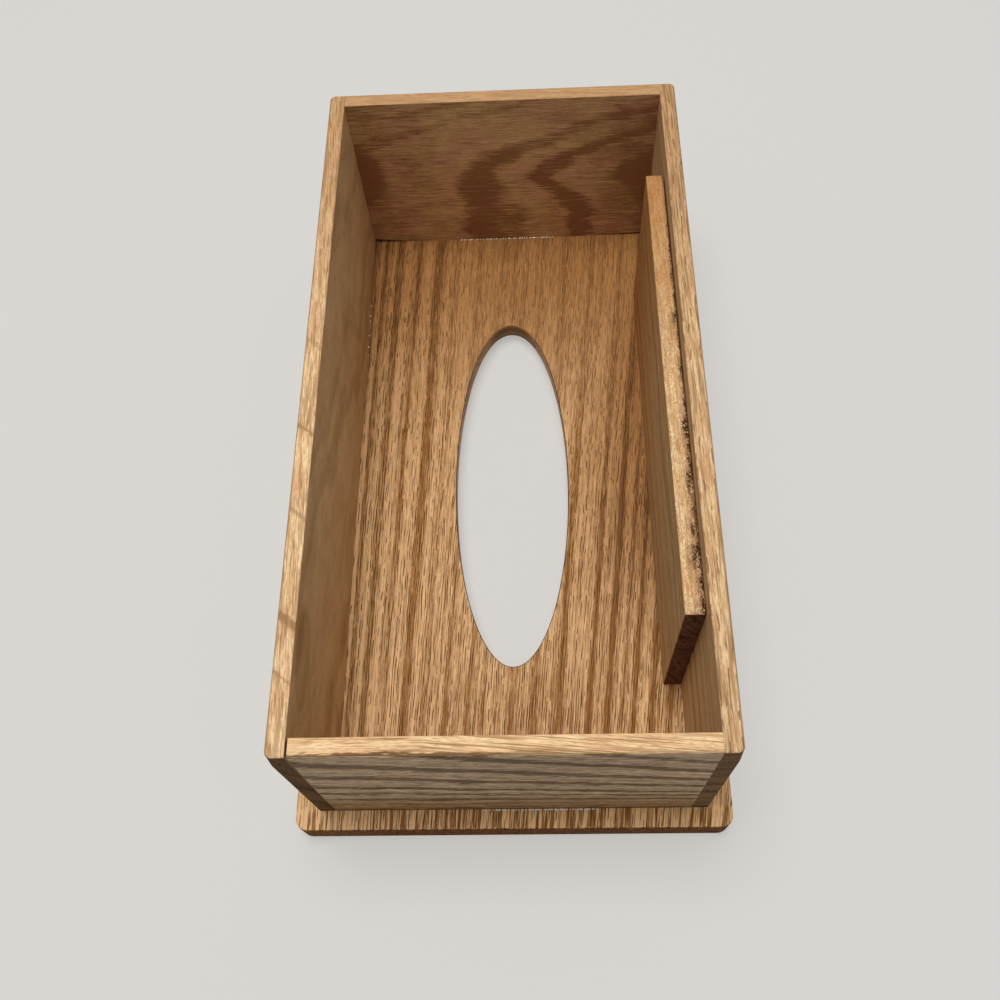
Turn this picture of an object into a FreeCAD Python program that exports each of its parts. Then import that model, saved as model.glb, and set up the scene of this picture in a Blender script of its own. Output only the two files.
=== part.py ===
import FreeCAD, Part
import math
import os

# Oak tissue box cover with a loose spacer board, lying open side up on its top panel.
#
# Frame: millimetres, +Z up, +X towards the right side, +Y along the box towards the back end.
# The origin is the centre of the top panel's outer face, which is the face that it lies on.

# Frame of four walls
BOX_WIDTH = 146.0             # over the outer faces of the two sides
BOX_LENGTH = 282.0            # over the outer faces of the two ends
WALL_HEIGHT = 86.0            # from the panel to the rim
WALL_THICKNESS = 6.35
UPRIGHT_CORNER_RADIUS = 0.5   # the four outer upright corners, sanded after glue-up
RIM_CORNER_RADIUS = 2.4       # the same corners at the rim, where they were sanded rounder
RIM_CORNER_RUN = 12.0         # height over which they grow rounder
RIM_ROUNDING = 0.8            # the rim's outer edge, sanded all round
ARRIS = 0.35                  # every other sharp edge, only broken with sandpaper

# Joints that did not close fully
FRONT_GAP_WIDTH = 0.8         # front end's left joint, at the rim
FRONT_GAP_DEPTH = 45.0        # how far down from the rim that joint stands open
BACK_LIFT_LEFT = 2.6          # back end's lower edge above the panel, at its left corner
BACK_LIFT_RIGHT = 1.6         # the same at its right corner
BACK_LIFT_RUN = 20.0          # length over which each corner lifts

# Top panel and its tissue slot
PANEL_THICKNESS = 12.7
SIDE_OVERHANG = 9.0           # panel past the outer faces of the sides
END_OVERHANG = 7.4            # panel past the outer faces of the ends
PANEL_CORNER_RADIUS = 5.0     # in plan
PANEL_ROUNDING = 1.0          # edges of both faces
SLOT_WIDTH = 48.5
SLOT_LENGTH = 167.5
SLOT_SHIFT_X = 0.7            # the slot was cut slightly off the panel's centre
SLOT_SHIFT_Y = -1.8
SLOT_ROUNDING = 6.35          # router roundover on the outer face

# Spacer board, standing on edge beside the right side
SPACER_THICKNESS = 7.0
SPACER_BELOW_RIM = 8.3
SPACER_FROM_FRONT = 40.8      # clear length in front of it
SPACER_FROM_BACK = 37.1       # clear length behind it
SPACER_GAP_FRONT = 0.1        # clearance to the right side at its front end
SPACER_GAP_BACK = 0.6         # the same at its back end, where it stands off a little
SPACER_ARRIS = 0.5

# Places worked out from the sizes above
PANEL_WIDTH = BOX_WIDTH + 2 * SIDE_OVERHANG
PANEL_LENGTH = BOX_LENGTH + 2 * END_OVERHANG
RIM_Z = PANEL_THICKNESS + WALL_HEIGHT
INSIDE_X = BOX_WIDTH / 2 - WALL_THICKNESS
INSIDE_Y = BOX_LENGTH / 2 - WALL_THICKNESS

UP = FreeCAD.Vector(0, 0, 1)


def point(x, y, z):
    return FreeCAD.Vector(x, y, z)


def edges_at_height(shape, height):
    """Edges that lie wholly in the level plane at this height."""
    level = []
    for edge in shape.Edges:
        box = edge.BoundBox
        if abs(box.ZMin - height) < 1e-4 and abs(box.ZMax - height) < 1e-4:
            level.append(edge)
    return level


def upright_edges(shape):
    """Straight edges that run along Z."""
    return [edge for edge in shape.Edges if edge.BoundBox.XLength + edge.BoundBox.YLength < 1e-4]


def centred_block(width, length, height, base_z):
    return Part.makeBox(width, length, height, point(-width / 2, -length / 2, base_z))


def sanded_walls():
    """Outer form shared by the four walls, which were rounded together after glue-up."""
    lower_height = WALL_HEIGHT - RIM_CORNER_RUN
    lower = centred_block(BOX_WIDTH, BOX_LENGTH, lower_height, PANEL_THICKNESS)
    lower = lower.makeFillet(UPRIGHT_CORNER_RADIUS, upright_edges(lower))
    upper = centred_block(BOX_WIDTH, BOX_LENGTH, RIM_CORNER_RUN, PANEL_THICKNESS + lower_height)
    upper = upper.makeFillet(UPRIGHT_CORNER_RADIUS, RIM_CORNER_RADIUS, upright_edges(upper))
    block = lower.fuse(upper).removeSplitter()
    return block.makeFillet(RIM_ROUNDING, edges_at_height(block, RIM_Z))


def break_rim_arrises(board, edge_is_inner):
    """Break the board's own sharp rim edges, those that the shared rounding does not reach."""
    inner = [edge for edge in edges_at_height(board, RIM_Z) if edge_is_inner(edge.CenterOfMass)]
    return board.makeFillet(ARRIS, inner)


def side_board(side):
    """Full-length side wall: side is -1 on the left and 1 on the right."""
    centre_x = side * (BOX_WIDTH - WALL_THICKNESS) / 2
    corner = point(centre_x - WALL_THICKNESS / 2, -BOX_LENGTH / 2, PANEL_THICKNESS)
    blank = Part.makeBox(WALL_THICKNESS, BOX_LENGTH, WALL_HEIGHT, corner)
    board = blank.common(sanded_walls())
    return break_rim_arrises(board, lambda middle: abs(middle.x) < INSIDE_X + ARRIS)


def end_board(outline, end):
    """End wall cut to an outline of (x, z) corners: end is -1 at the front and 1 at the back."""
    inner_y = end * INSIDE_Y
    corners = [point(x, inner_y, z) for x, z in outline]
    face = Part.Face(Part.makePolygon(corners + corners[:1]))
    blank = face.extrude(point(0, end * WALL_THICKNESS, 0))
    board = blank.common(sanded_walls())
    return break_rim_arrises(board, lambda middle: abs(middle.y) < INSIDE_Y + ARRIS)


def front_end():
    """Front wall. Its left end is out of square, so that joint stands open at the rim."""
    outline = [
        (-INSIDE_X, PANEL_THICKNESS),
        (INSIDE_X, PANEL_THICKNESS),
        (INSIDE_X, RIM_Z),
        (-INSIDE_X + FRONT_GAP_WIDTH, RIM_Z),
        (-INSIDE_X, RIM_Z - FRONT_GAP_DEPTH),
    ]
    return end_board(outline, -1)


def back_end():
    """Back wall. Its lower edge lifts off the panel towards both corners."""
    outline = [
        (-INSIDE_X, PANEL_THICKNESS + BACK_LIFT_LEFT),
        (-INSIDE_X + BACK_LIFT_RUN, PANEL_THICKNESS),
        (INSIDE_X - BACK_LIFT_RUN, PANEL_THICKNESS),
        (INSIDE_X, PANEL_THICKNESS + BACK_LIFT_RIGHT),
        (INSIDE_X, RIM_Z),
        (-INSIDE_X, RIM_Z),
    ]
    return end_board(outline, 1)


def top_panel():
    """Overhanging board with rounded corners and the oval tissue slot, rounded over outside."""
    panel = centred_block(PANEL_WIDTH, PANEL_LENGTH, PANEL_THICKNESS, 0)
    panel = panel.makeFillet(PANEL_CORNER_RADIUS, upright_edges(panel))
    panel = panel.makeFillet(PANEL_ROUNDING, edges_at_height(panel, 0))
    panel = panel.makeFillet(PANEL_ROUNDING, edges_at_height(panel, PANEL_THICKNESS))
    slot_centre = point(SLOT_SHIFT_X, SLOT_SHIFT_Y, 0)
    oval = Part.Ellipse(
        slot_centre + point(0, SLOT_LENGTH / 2, 0),
        slot_centre + point(-SLOT_WIDTH / 2, 0, 0),
        slot_centre,
    )
    slot = Part.Face(Part.Wire(oval.toShape())).extrude(UP * PANEL_THICKNESS)
    panel = panel.cut(slot)
    slot_rims = [edge for edge in panel.Edges if edge.Curve.TypeId == "Part::GeomEllipse"]
    outer_rim = [edge for edge in slot_rims if abs(edge.CenterOfMass.z) < 1e-4]
    panel = panel.makeFillet(SLOT_ROUNDING, outer_rim)
    inner_rim = [
        edge
        for edge in edges_at_height(panel, PANEL_THICKNESS)
        if edge.Curve.TypeId == "Part::GeomEllipse"
    ]
    return panel.makeChamfer(ARRIS, inner_rim)


def spacer_board():
    """Loose board on edge beside the right side, turned slightly away from it at the back."""
    length = 2 * INSIDE_Y - SPACER_FROM_FRONT - SPACER_FROM_BACK
    height = WALL_HEIGHT - SPACER_BELOW_RIM
    board = Part.makeBox(SPACER_THICKNESS, length, height, point(-SPACER_THICKNESS, 0, 0))
    board = board.makeFillet(SPACER_ARRIS, board.Edges)
    turn = math.degrees(math.asin((SPACER_GAP_BACK - SPACER_GAP_FRONT) / length))
    board.rotate(point(0, 0, 0), UP, turn)
    front_corner = point(
        INSIDE_X - SPACER_GAP_FRONT,
        -INSIDE_Y + SPACER_FROM_FRONT,
        PANEL_THICKNESS,
    )
    return board.translated(front_corner)


NODES = {
    "top_panel": top_panel(),
    "left_side": side_board(-1),
    "right_side": side_board(1),
    "front_end": front_end(),
    "back_end": back_end(),
    "spacer_board": spacer_board(),
}

os.makedirs("parts", exist_ok=True)
for name, shape in NODES.items():
    solid = shape.Solids[0]
    solid.exportStep(f"parts/{name}.step")
    box = solid.BoundBox
    print(
        f"{name}: {len(shape.Solids)} solid, valid {solid.isValid()}, volume {solid.Volume:.0f} mm3, "
        f"X {box.XMin:.2f} to {box.XMax:.2f}, Y {box.YMin:.2f} to {box.YMax:.2f}, "
        f"Z {box.ZMin:.2f} to {box.ZMax:.2f}"
    )
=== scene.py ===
import math
import random

import bmesh
import bpy
from mathutils import Matrix, Vector


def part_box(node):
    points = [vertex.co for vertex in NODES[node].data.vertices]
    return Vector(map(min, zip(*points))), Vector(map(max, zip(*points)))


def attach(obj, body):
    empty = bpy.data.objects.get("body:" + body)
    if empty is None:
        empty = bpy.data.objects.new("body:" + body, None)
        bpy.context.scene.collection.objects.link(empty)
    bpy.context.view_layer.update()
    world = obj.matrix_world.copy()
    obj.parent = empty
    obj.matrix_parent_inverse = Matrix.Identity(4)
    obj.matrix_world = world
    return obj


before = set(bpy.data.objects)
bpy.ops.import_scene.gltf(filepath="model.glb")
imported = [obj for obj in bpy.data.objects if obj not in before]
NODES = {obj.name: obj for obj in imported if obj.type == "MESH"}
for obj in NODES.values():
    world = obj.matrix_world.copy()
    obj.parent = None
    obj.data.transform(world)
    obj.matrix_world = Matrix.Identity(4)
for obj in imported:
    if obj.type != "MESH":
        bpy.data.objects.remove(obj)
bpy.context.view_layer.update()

TO_MM = 1000.0
X, Y, Z = range(3)

# --- places read from the boards themselves, in mm ---
_, PANEL_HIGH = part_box("top_panel")
_, LEFT_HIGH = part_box("left_side")
FRONT_LOW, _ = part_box("front_end")
BACK_LOW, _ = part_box("back_end")
SPACER_LOW, SPACER_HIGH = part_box("spacer_board")
PANEL_TOP = PANEL_HIGH.z * TO_MM
RIM_TOP = LEFT_HIGH.z * TO_MM
LEFT_WALL = LEFT_HIGH.x * TO_MM
FRONT_FACE = FRONT_LOW.y * TO_MM
BACK_WALL = BACK_LOW.y * TO_MM
SPACER_FRONT = SPACER_LOW.y * TO_MM
SPACER_RIGHT = SPACER_HIGH.x * TO_MM

# --- camera, floor and light, in metres ---
CAMERA_PLACE = (0.014089, -0.213818, 0.411995)
CAMERA_AIM = (-0.002868, -0.029775, 0.05)
CAMERA_ROLL = math.radians(-5.95)
CAMERA_LENS = 37.33
SENSOR_WIDTH = 36.0

FLOOR_SIZE = 12.0
FLOOR_GAP = 0.0001   # keeps the floor and the face that lies on it from being one plane
FLOOR_COLOUR = (0.71, 0.695, 0.665)
FLOOR_ROUGHNESS = 0.8
FLOOR_SHINE = 0.2
FLOOR_GLOW = (0.7, 0.685, 0.658)
FLOOR_GLOW_SHARE = 0.6
BACKDROP = (0.515, 0.503, 0.48)

KEY_PLACE = (-0.14, 0.08, 1.75)
KEY_AIM = (0.0, 0.0, 0.05)
KEY_SIZE = 0.9
KEY_POWER = 21.0
SKY_COLOUR = (1.0, 0.99, 0.97)
SKY_STRENGTH = 0.32

# --- oak colours, as linear reflectance: light wood, dark wood, open pores, and how far the pores show ---
PANEL_TINT = ((0.85, 0.53, 0.26), (0.285, 0.115, 0.02), (0.11, 0.036, 0.001), 1.0)
# the panel's wood darker and redder: a painted shade copy for where the panel lies in shadow
PANEL_SHADED_TINT = ((0.46, 0.22, 0.073), (0.155, 0.062, 0.017), (0.08, 0.028, 0.005), 1.0)
PANEL_END_TINT = ((0.23, 0.1, 0.03), (0.1, 0.033, 0.01), (0.03, 0.012, 0.004), 0.9)
INSIDE_TINT = ((0.72, 0.52, 0.275), (0.43, 0.26, 0.1), (0.28, 0.16, 0.065), 0.25)
INSIDE_ROSY = ((0.7, 0.485, 0.275), (0.42, 0.24, 0.1), (0.28, 0.155, 0.067), 0.25)
RIGHT_INSIDE_TINT = ((0.66, 0.455, 0.245), (0.34, 0.19, 0.08), (0.28, 0.16, 0.065), 0.25)
BACK_TINT = ((0.69, 0.45, 0.212), (0.28, 0.135, 0.053), (0.25, 0.115, 0.045), 0.3)
BACK_ROSY = ((0.69, 0.41, 0.225), (0.28, 0.12, 0.056), (0.25, 0.105, 0.048), 0.3)
OUTSIDE_TINT = ((0.58, 0.37, 0.17), (0.3, 0.17, 0.07), (0.2, 0.1, 0.04), 0.5)
FRONT_LOW_TINT = ((0.48, 0.29, 0.13), (0.1, 0.043, 0.012), (0.1, 0.045, 0.014), 0.7)
FRONT_TINT = ((0.68, 0.48, 0.3), (0.135, 0.076, 0.026), (0.12, 0.068, 0.024), 0.8)
LEFT_END_TINT = ((0.175, 0.09, 0.026), (0.06, 0.032, 0.011), (0.04, 0.02, 0.007), 0.8)
RIGHT_END_TINT = ((0.225, 0.126, 0.053), (0.08, 0.045, 0.022), (0.05, 0.025, 0.012), 0.8)
SPACER_TINT = ((0.6, 0.435, 0.235), (0.31, 0.17, 0.068), (0.2, 0.1, 0.036), 0.4)
SPACER_BACK_TINT = ((0.62, 0.375, 0.16), (0.34, 0.16, 0.052), (0.2, 0.1, 0.036), 0.4)
SPACER_END_TINT = ((0.25, 0.135, 0.1), (0.062, 0.028, 0.018), (0.03, 0.01, 0.004), 0.7)

# --- single colours ---
SLOT_ARRIS = (0.1, 0.075, 0.05)
# painted shadow on the slot's wall below its lip
SLOT_SHADOW = (0.24, 0.115, 0.06)
SLOT_FOOT = (0.25, 0.185, 0.135)
# painted light on the slot's lip, so that it reads like the lit panel face
SLOT_LIT_LIP = (0.6, 0.32, 0.13)
SAW_MARK = (0.4, 0.25, 0.19)
# the rims' colour towards the back, painted without the sheen that the front rims catch
RIM_WITHOUT_SHEEN = (0.58, 0.33, 0.155)
# the spacer top's colour towards the back, painted without the sheen
SPACER_TOP_WITHOUT_SHEEN = (0.42, 0.13, 0.006)
# painted shade on the rims' outer rounding
RIM_ROUNDING_SHADE = (0.22, 0.125, 0.05)
# painted shade in a band along the front rim's outer edge
FRONT_EDGE_SHADE = (0.13, 0.065, 0.022)
DASH = (0.2, 0.1, 0.035)
STAIN = (0.05, 0.02, 0.006)
HAZE = (0.26, 0.135, 0.066)
GLUE = (0.85, 0.78, 0.66)

# --- sanded rims: pale wood, rosy wood, brown streaks; the front rim's paler tints and the back rim's darker ones are partly painted sheen ---
SIDE_RIM_TINT = ((0.97, 0.68, 0.385), (0.8, 0.49, 0.25), (0.3, 0.15, 0.055))
RIGHT_RIM_TINT = ((0.88, 0.6, 0.33), (0.69, 0.415, 0.2), (0.25, 0.125, 0.045))
FRONT_RIM_TINT = ((1.0, 0.7, 0.385), (0.9, 0.57, 0.31), (0.34, 0.17, 0.06))
BACK_RIM_TINT = ((0.72, 0.49, 0.26), (0.66, 0.38, 0.19), (0.34, 0.17, 0.07))
SPACER_TOP_TINT = ((0.98, 0.73, 0.41), (0.9, 0.585, 0.3), (0.34, 0.155, 0.05))

# --- sheen, roughness, and the depth of the open grain in metres ---
VARNISH_SHINE = 0.12
FRONT_SHINE = 0.05
SPACER_SHINE = 0.03
PANEL_ROUGHNESS = 0.45
FRONT_ROUGHNESS = 0.45
WALL_ROUGHNESS = 0.5
END_GRAIN_ROUGHNESS = 0.9
PORE_ROUGHNESS = 0.2
GLUE_ROUGHNESS = 0.45
PANEL_RELIEF = 0.00005
SPACER_RELIEF = 0.00005
WALL_RELIEF = 0.00004

# a Mix node has sockets for each kind of value, and these are the ones for colours
MIX_INPUTS = (0, 6, 7)
MIX_RESULT = 2


class Graph:
    """A node tree being built. Each call adds a node and gives back the socket or node to use next."""

    def __init__(self, tree):
        self.tree = tree

    def put(self, kind, **settings):
        node = self.tree.nodes.new("ShaderNode" + kind)
        for name, value in settings.items():
            setattr(node, name, value)
        return node

    def join(self, value, socket):
        if isinstance(value, bpy.types.NodeSocket):
            self.tree.links.new(value, socket)
        else:
            socket.default_value = value

    def math(self, operation, *values, clamp=False):
        node = self.put("Math", operation=operation, use_clamp=clamp)
        for value, socket in zip(values, node.inputs):
            self.join(value, socket)
        return node.outputs[0]

    def chain(self, operation, values):
        result = values[0]
        for value in values[1:]:
            result = self.math(operation, result, value)
        return result

    def add(self, *values):
        return self.chain("ADD", values)

    def times(self, *values):
        return self.chain("MULTIPLY", values)

    def larger(self, *values):
        return self.chain("MAXIMUM", values)

    def minus(self, value, less):
        return self.math("SUBTRACT", value, less)

    def over(self, value, divisor):
        return self.math("DIVIDE", value, divisor)

    def absolute(self, value):
        return self.math("ABSOLUTE", value)

    def clamped(self, first, second=0.0):
        """The sum of two values, held between 0 and 1."""
        return self.math("ADD", first, second, clamp=True)

    def vector(self, operation, *values):
        node = self.put("VectorMath", operation=operation)
        for value, socket in zip(values, node.inputs):
            self.join(value, socket)
        return node.outputs["Vector"]

    def ramp(self, value, low, high, at_low=0.0, at_high=1.0):
        """A smooth step of value from low to high."""
        node = self.put("MapRange", interpolation_type="SMOOTHSTEP")
        for socket, number in zip(node.inputs, (value, low, high, at_low, at_high)):
            self.join(number, socket)
        return node.outputs["Result"]

    def noise(self, place, size, detail=2.0, roughness=0.5):
        """Soft noise from 0 to 1 whose features have the given sizes in mm along each axis."""
        node = self.put("TexNoise")
        self.join(self.vector("DIVIDE", place, size), node.inputs["Vector"])
        self.join(1.0, node.inputs["Scale"])
        self.join(detail, node.inputs["Detail"])
        self.join(roughness, node.inputs["Roughness"])
        return node.outputs["Fac"]

    def spots(self, place, size, edges, **texture):
        """The same noise as a smooth step between two of its values, which leaves separate spots."""
        return self.ramp(self.noise(place, size, **texture), *edges)

    def noise_colour(self, place, size):
        """Three soft noises at once, as a colour whose parts go from 0 to 1."""
        node = self.put("TexNoise")
        self.join(self.vector("DIVIDE", place, size), node.inputs["Vector"])
        self.join(1.0, node.inputs["Scale"])
        return node.outputs["Color"]

    def mix(self, amount, first, second):
        node = self.put("Mix", data_type="RGBA")
        for index, value in zip(MIX_INPUTS, (amount, first, second)):
            self.join(value, node.inputs[index])
        return node.outputs[MIX_RESULT]

    def axes(self, vector):
        node = self.put("SeparateXYZ")
        self.join(vector, node.inputs[0])
        return node.outputs

    def combine(self, *values):
        node = self.put("CombineXYZ")
        for value, socket in zip(values, node.inputs):
            self.join(value, socket)
        return node.outputs[0]

    def group(self, tree, **values):
        node = self.put("Group", node_tree=tree)
        for name, value in values.items():
            self.join(value, node.inputs[name.replace("_", " ")])
        return node.outputs


def colour(values):
    return (*values, 1.0)


def new_group(name, inputs, outputs):
    """An empty shader group. Inputs and outputs are (name, kind) pairs."""
    tree = bpy.data.node_groups.new(name, "ShaderNodeTree")
    for label, kind in inputs:
        tree.interface.new_socket(label, in_out="INPUT", socket_type="NodeSocket" + kind)
    for label, kind in outputs:
        tree.interface.new_socket(label, in_out="OUTPUT", socket_type="NodeSocket" + kind)
    graph = Graph(tree)
    entry = tree.nodes.new("NodeGroupInput")
    leave = tree.nodes.new("NodeGroupOutput")
    return graph, entry.outputs, leave.inputs


# --- slim dashes: places and widths are shares of a row, lengths are shares of a dash ---
ROW_SLANT = 0.93              # rows moved across for each mm into the board, so that no face is hit flat
LINE_FROM = 0.25              # where in its row a line may lie: from here,
LINE_PLAY = 0.5               # over this much of the row
LINE_EDGE = (0.22, 0.08)
ROW_START = 37.7              # how far each row's breaks are shifted from its neighbour's
ROW_BREAKS = 5.3              # how unlike two rows' breaks are
BREAKS_OPEN = 0.58            # noise value above which a dash shows,
BREAKS_CROWDED = 0.2          # lowered by this where they are crowded
BREAKS_EDGE = 0.08
STRETCH = (0.5, 7.1, 3.0)     # slow change of weight: along a row, from row to row, and its own place
STRETCH_WEIGHT = (0.4, 0.6, 0.35, 1.0)
UNIT = (1.0, 1.0, 1.0)


def dash_rows(graph, place, spacing, length, crowding):
    """Slim dashes in rows: fine lines a set spacing apart, each broken along its length."""
    across, along, depth = graph.axes(place)
    lane = graph.over(graph.add(across, graph.times(depth, ROW_SLANT)), spacing)
    row = graph.math("FLOOR", lane)
    chance = graph.put("TexWhiteNoise", noise_dimensions="1D")
    graph.join(row, chance.inputs["W"])
    middle = graph.add(LINE_FROM, graph.times(chance.outputs["Value"], LINE_PLAY))
    gap = graph.absolute(graph.minus(graph.math("FRACT", lane), middle))
    line = graph.ramp(gap, *LINE_EDGE)
    start = graph.add(graph.over(along, length), graph.times(row, ROW_START))
    breaks = graph.noise(graph.combine(start, graph.times(row, ROW_BREAKS), 0.0), UNIT, detail=0.0)
    open_at = graph.minus(BREAKS_OPEN, graph.times(crowding, BREAKS_CROWDED))
    dash = graph.ramp(breaks, open_at, graph.add(open_at, BREAKS_EDGE))
    stretch = graph.combine(graph.times(start, STRETCH[0]), graph.times(row, STRETCH[1]), STRETCH[2])
    weight = graph.spots(stretch, UNIT, STRETCH_WEIGHT, detail=0.0)
    return graph.times(line, dash, weight)


# --- fine grain: noise sizes in mm across the face, along the grain and into the board ---
FIBRE_SIZE = (1.1, 60.0, 1.1)
THREAD_SIZE = (0.45, 7.0, 0.45)
FLECK_SIZE = (0.42, 12.0, 0.42)
SPECK_SIZE = (0.35, 1.6, 0.35)
CLOUD_SIZE = (16.0, 70.0, 16.0)
BASE_TONE = 0.14
PORE_SPACING = 1.05
PORE_LENGTH = 5.0
PORE_CROWDING = (0.35, 0.7)
FIGURE_CROWDING = 0.8
PORE_BEND_SIZE = (4.0, 16.0, 4.0)
PORE_BEND_REACH = (1.3, 0.0, 1.3)
HALF = (0.5, 0.5, 0.5)
THREAD_HEIGHT = 0.4


def oak_grain_group():
    """Fibres, open pores and their relief, along the second axis of a place in mm."""
    graph, entry, leave = new_group(
        "oak grain",
        (("Place", "Vector"), ("Figure", "Float"), ("Crowd", "Float")),
        (("Tone", "Float"), ("Pores", "Float"), ("Height", "Float")),
    )
    place = entry["Place"]
    figure = entry["Figure"]
    fibres = graph.noise(place, FIBRE_SIZE, detail=1.0)
    threads = graph.noise(place, THREAD_SIZE, detail=2.0)
    flecks = graph.noise(place, FLECK_SIZE, detail=1.0)
    specks = graph.noise(place, SPECK_SIZE, detail=1.0)
    cloud = graph.noise(place, CLOUD_SIZE, detail=2.0)
    crowded = graph.ramp(fibres, *PORE_CROWDING)
    crowding = graph.add(crowded, graph.times(figure, FIGURE_CROWDING), entry["Crowd"])
    bend = graph.vector("SUBTRACT", graph.noise_colour(place, PORE_BEND_SIZE), HALF)
    bent = graph.vector("ADD", place, graph.vector("MULTIPLY", bend, PORE_BEND_REACH))
    pores = dash_rows(graph, bent, PORE_SPACING, PORE_LENGTH, crowding)
    # each part of the tone: its value, the value at which it changes nothing, and its share
    parts = (
        (graph.ramp(fibres, 0.36, 0.64), 0.0, 0.15),
        (figure, 0.0, 0.8),
        (graph.ramp(threads, 0.3, 0.7), 0.4, 0.4),
        (specks, 0.5, 0.55),
        (graph.ramp(flecks, 0.55, 0.67), 0.2, -0.35),
        (cloud, 0.5, 0.3),
    )
    tone = BASE_TONE
    for value, middle, share in parts:
        tone = graph.add(tone, graph.times(graph.minus(value, middle), share))
    graph.join(graph.clamped(tone), leave["Tone"])
    graph.join(pores, leave["Pores"])
    graph.join(graph.minus(graph.times(threads, THREAD_HEIGHT), pores), leave["Height"])
    return graph.tree


def oak_tint_group():
    """The colour of one face: light to dark wood by tone, with pores over it."""
    graph, entry, leave = new_group(
        "oak tint",
        (
            ("Tone", "Float"),
            ("Pores", "Float"),
            ("Light", "Color"),
            ("Dark", "Color"),
            ("Pore", "Color"),
            ("Openness", "Float"),
        ),
        (("Colour", "Color"),),
    )
    wood = graph.mix(entry["Tone"], entry["Light"], entry["Dark"])
    share = graph.times(entry["Pores"], entry["Openness"])
    graph.join(graph.mix(share, wood, entry["Pore"]), leave["Colour"])
    return graph.tree


BAND_CORE = 0.3   # share of a band's half width that has its full strength


def ring_band_group():
    """One dark growth-ring band: full strength about its place on the ring field, fading at its edges."""
    graph, entry, leave = new_group(
        "ring band",
        (("Field", "Float"), ("Place", "Float"), ("Width", "Float"), ("Strength", "Float")),
        (("Band", "Float"),),
    )
    gap = graph.absolute(graph.minus(entry["Field"], entry["Place"]))
    core = graph.times(entry["Width"], BAND_CORE)
    graph.join(graph.ramp(gap, entry["Width"], core, 0.0, entry["Strength"]), leave["Band"])
    return graph.tree


RING_DETAIL = 2.0
RING_EDGES = (0.42, 0.72)


def loose_rings_group():
    """Uneven growth rings across a ring field, a few mm wide."""
    graph, entry, leave = new_group(
        "loose rings",
        (("Field", "Float"), ("Ring width", "Float"), ("Offset", "Float")),
        (("Figure", "Float"),),
    )
    rings = graph.add(graph.over(entry["Field"], entry["Ring width"]), entry["Offset"])
    node = graph.put("TexNoise", noise_dimensions="1D")
    graph.join(rings, node.inputs["W"])
    graph.join(1.0, node.inputs["Scale"])
    graph.join(RING_DETAIL, node.inputs["Detail"])
    graph.join(graph.ramp(node.outputs["Fac"], *RING_EDGES), leave["Figure"])
    return graph.tree


OAK_GRAIN = oak_grain_group()
OAK_TINT = oak_tint_group()
RING_BAND = ring_band_group()
LOOSE_RINGS = loose_rings_group()


def wood_place(graph, order):
    """The point in mm, with the axes in the order across the face, along the grain, into the board."""
    node = graph.put("TexCoord")
    axes = graph.axes(graph.vector("MULTIPLY", node.outputs["Object"], (TO_MM, TO_MM, TO_MM)))
    return graph.combine(*(axes[index] for index in order))


def facing(graph, axis, sign=0, low=0.45, high=0.8):
    """1 where the surface faces along an axis, 0 where it faces elsewhere. Sign 0 takes both ways."""
    node = graph.put("TexCoord")
    part = graph.axes(node.outputs["Normal"])[axis]
    part = graph.times(part, sign) if sign else graph.absolute(part)
    return graph.ramp(part, low, high)


NOISE_MIDDLE = 0.5


def shifted_noise(graph, place, size, reach, detail=2.0):
    """Noise about zero that moves a ring field by up to about half of reach."""
    return graph.times(graph.minus(graph.noise(place, size, detail=detail), NOISE_MIDDLE), reach)


def add_bands(graph, field, bands):
    """Dark bands at given places on a ring field. Bands are (place, half width, strength)."""
    figure = 0.0
    for place, width, strength in bands:
        band = graph.group(RING_BAND, Field=field, Place=place, Width=width, Strength=strength)["Band"]
        figure = graph.larger(figure, band)
    return figure


def loose_rings(graph, field, ring_width, offset):
    return graph.group(LOOSE_RINGS, Field=field, Ring_width=ring_width, Offset=offset)["Figure"]


def oval_spot(graph, first, second, middle, half_size, edges, fray):
    """1 inside an oval and 0 outside it, with a frayed edge between the two given shares of its size."""
    from_middle = graph.combine(
        graph.over(graph.minus(first, middle[0]), half_size[0]),
        graph.over(graph.minus(second, middle[1]), half_size[1]),
        0.0,
    )
    reach = graph.put("VectorMath", operation="LENGTH")
    graph.join(from_middle, reach.inputs[0])
    return graph.ramp(graph.add(reach.outputs["Value"], fray), *edges)


def new_material(name):
    material = bpy.data.materials.new(name)
    material.use_nodes = True
    graph = Graph(material.node_tree)
    shader = material.node_tree.nodes["Principled BSDF"]
    return material, graph, shader


def oak_grain(graph, place, figure, crowd=0.0):
    return graph.group(OAK_GRAIN, Place=place, Figure=figure, Crowd=crowd)


def tint(graph, grain, colours, tone=None, openness=None):
    """Colours one face of a board, by the grain's own tone and openness or by others."""
    light, dark, pore = (colour(values) for values in colours[:3])
    tone = grain["Tone"] if tone is None else tone
    openness = colours[3] if openness is None else openness
    node = graph.group(
        OAK_TINT, Tone=tone, Pores=grain["Pores"], Light=light, Dark=dark, Pore=pore, Openness=openness
    )
    return node["Colour"]


HUE_EDGES = (0.4, 0.6)


def two_hues(graph, place, size, grain, tints, tone=None):
    """Colours one face in two tints, in soft patches of a size in mm."""
    hue = graph.spots(place, size, HUE_EDGES, detail=3.0)
    plain, rosy = (tint(graph, grain, colours, tone=tone) for colours in tints)
    return graph.mix(hue, plain, rosy)


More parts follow.
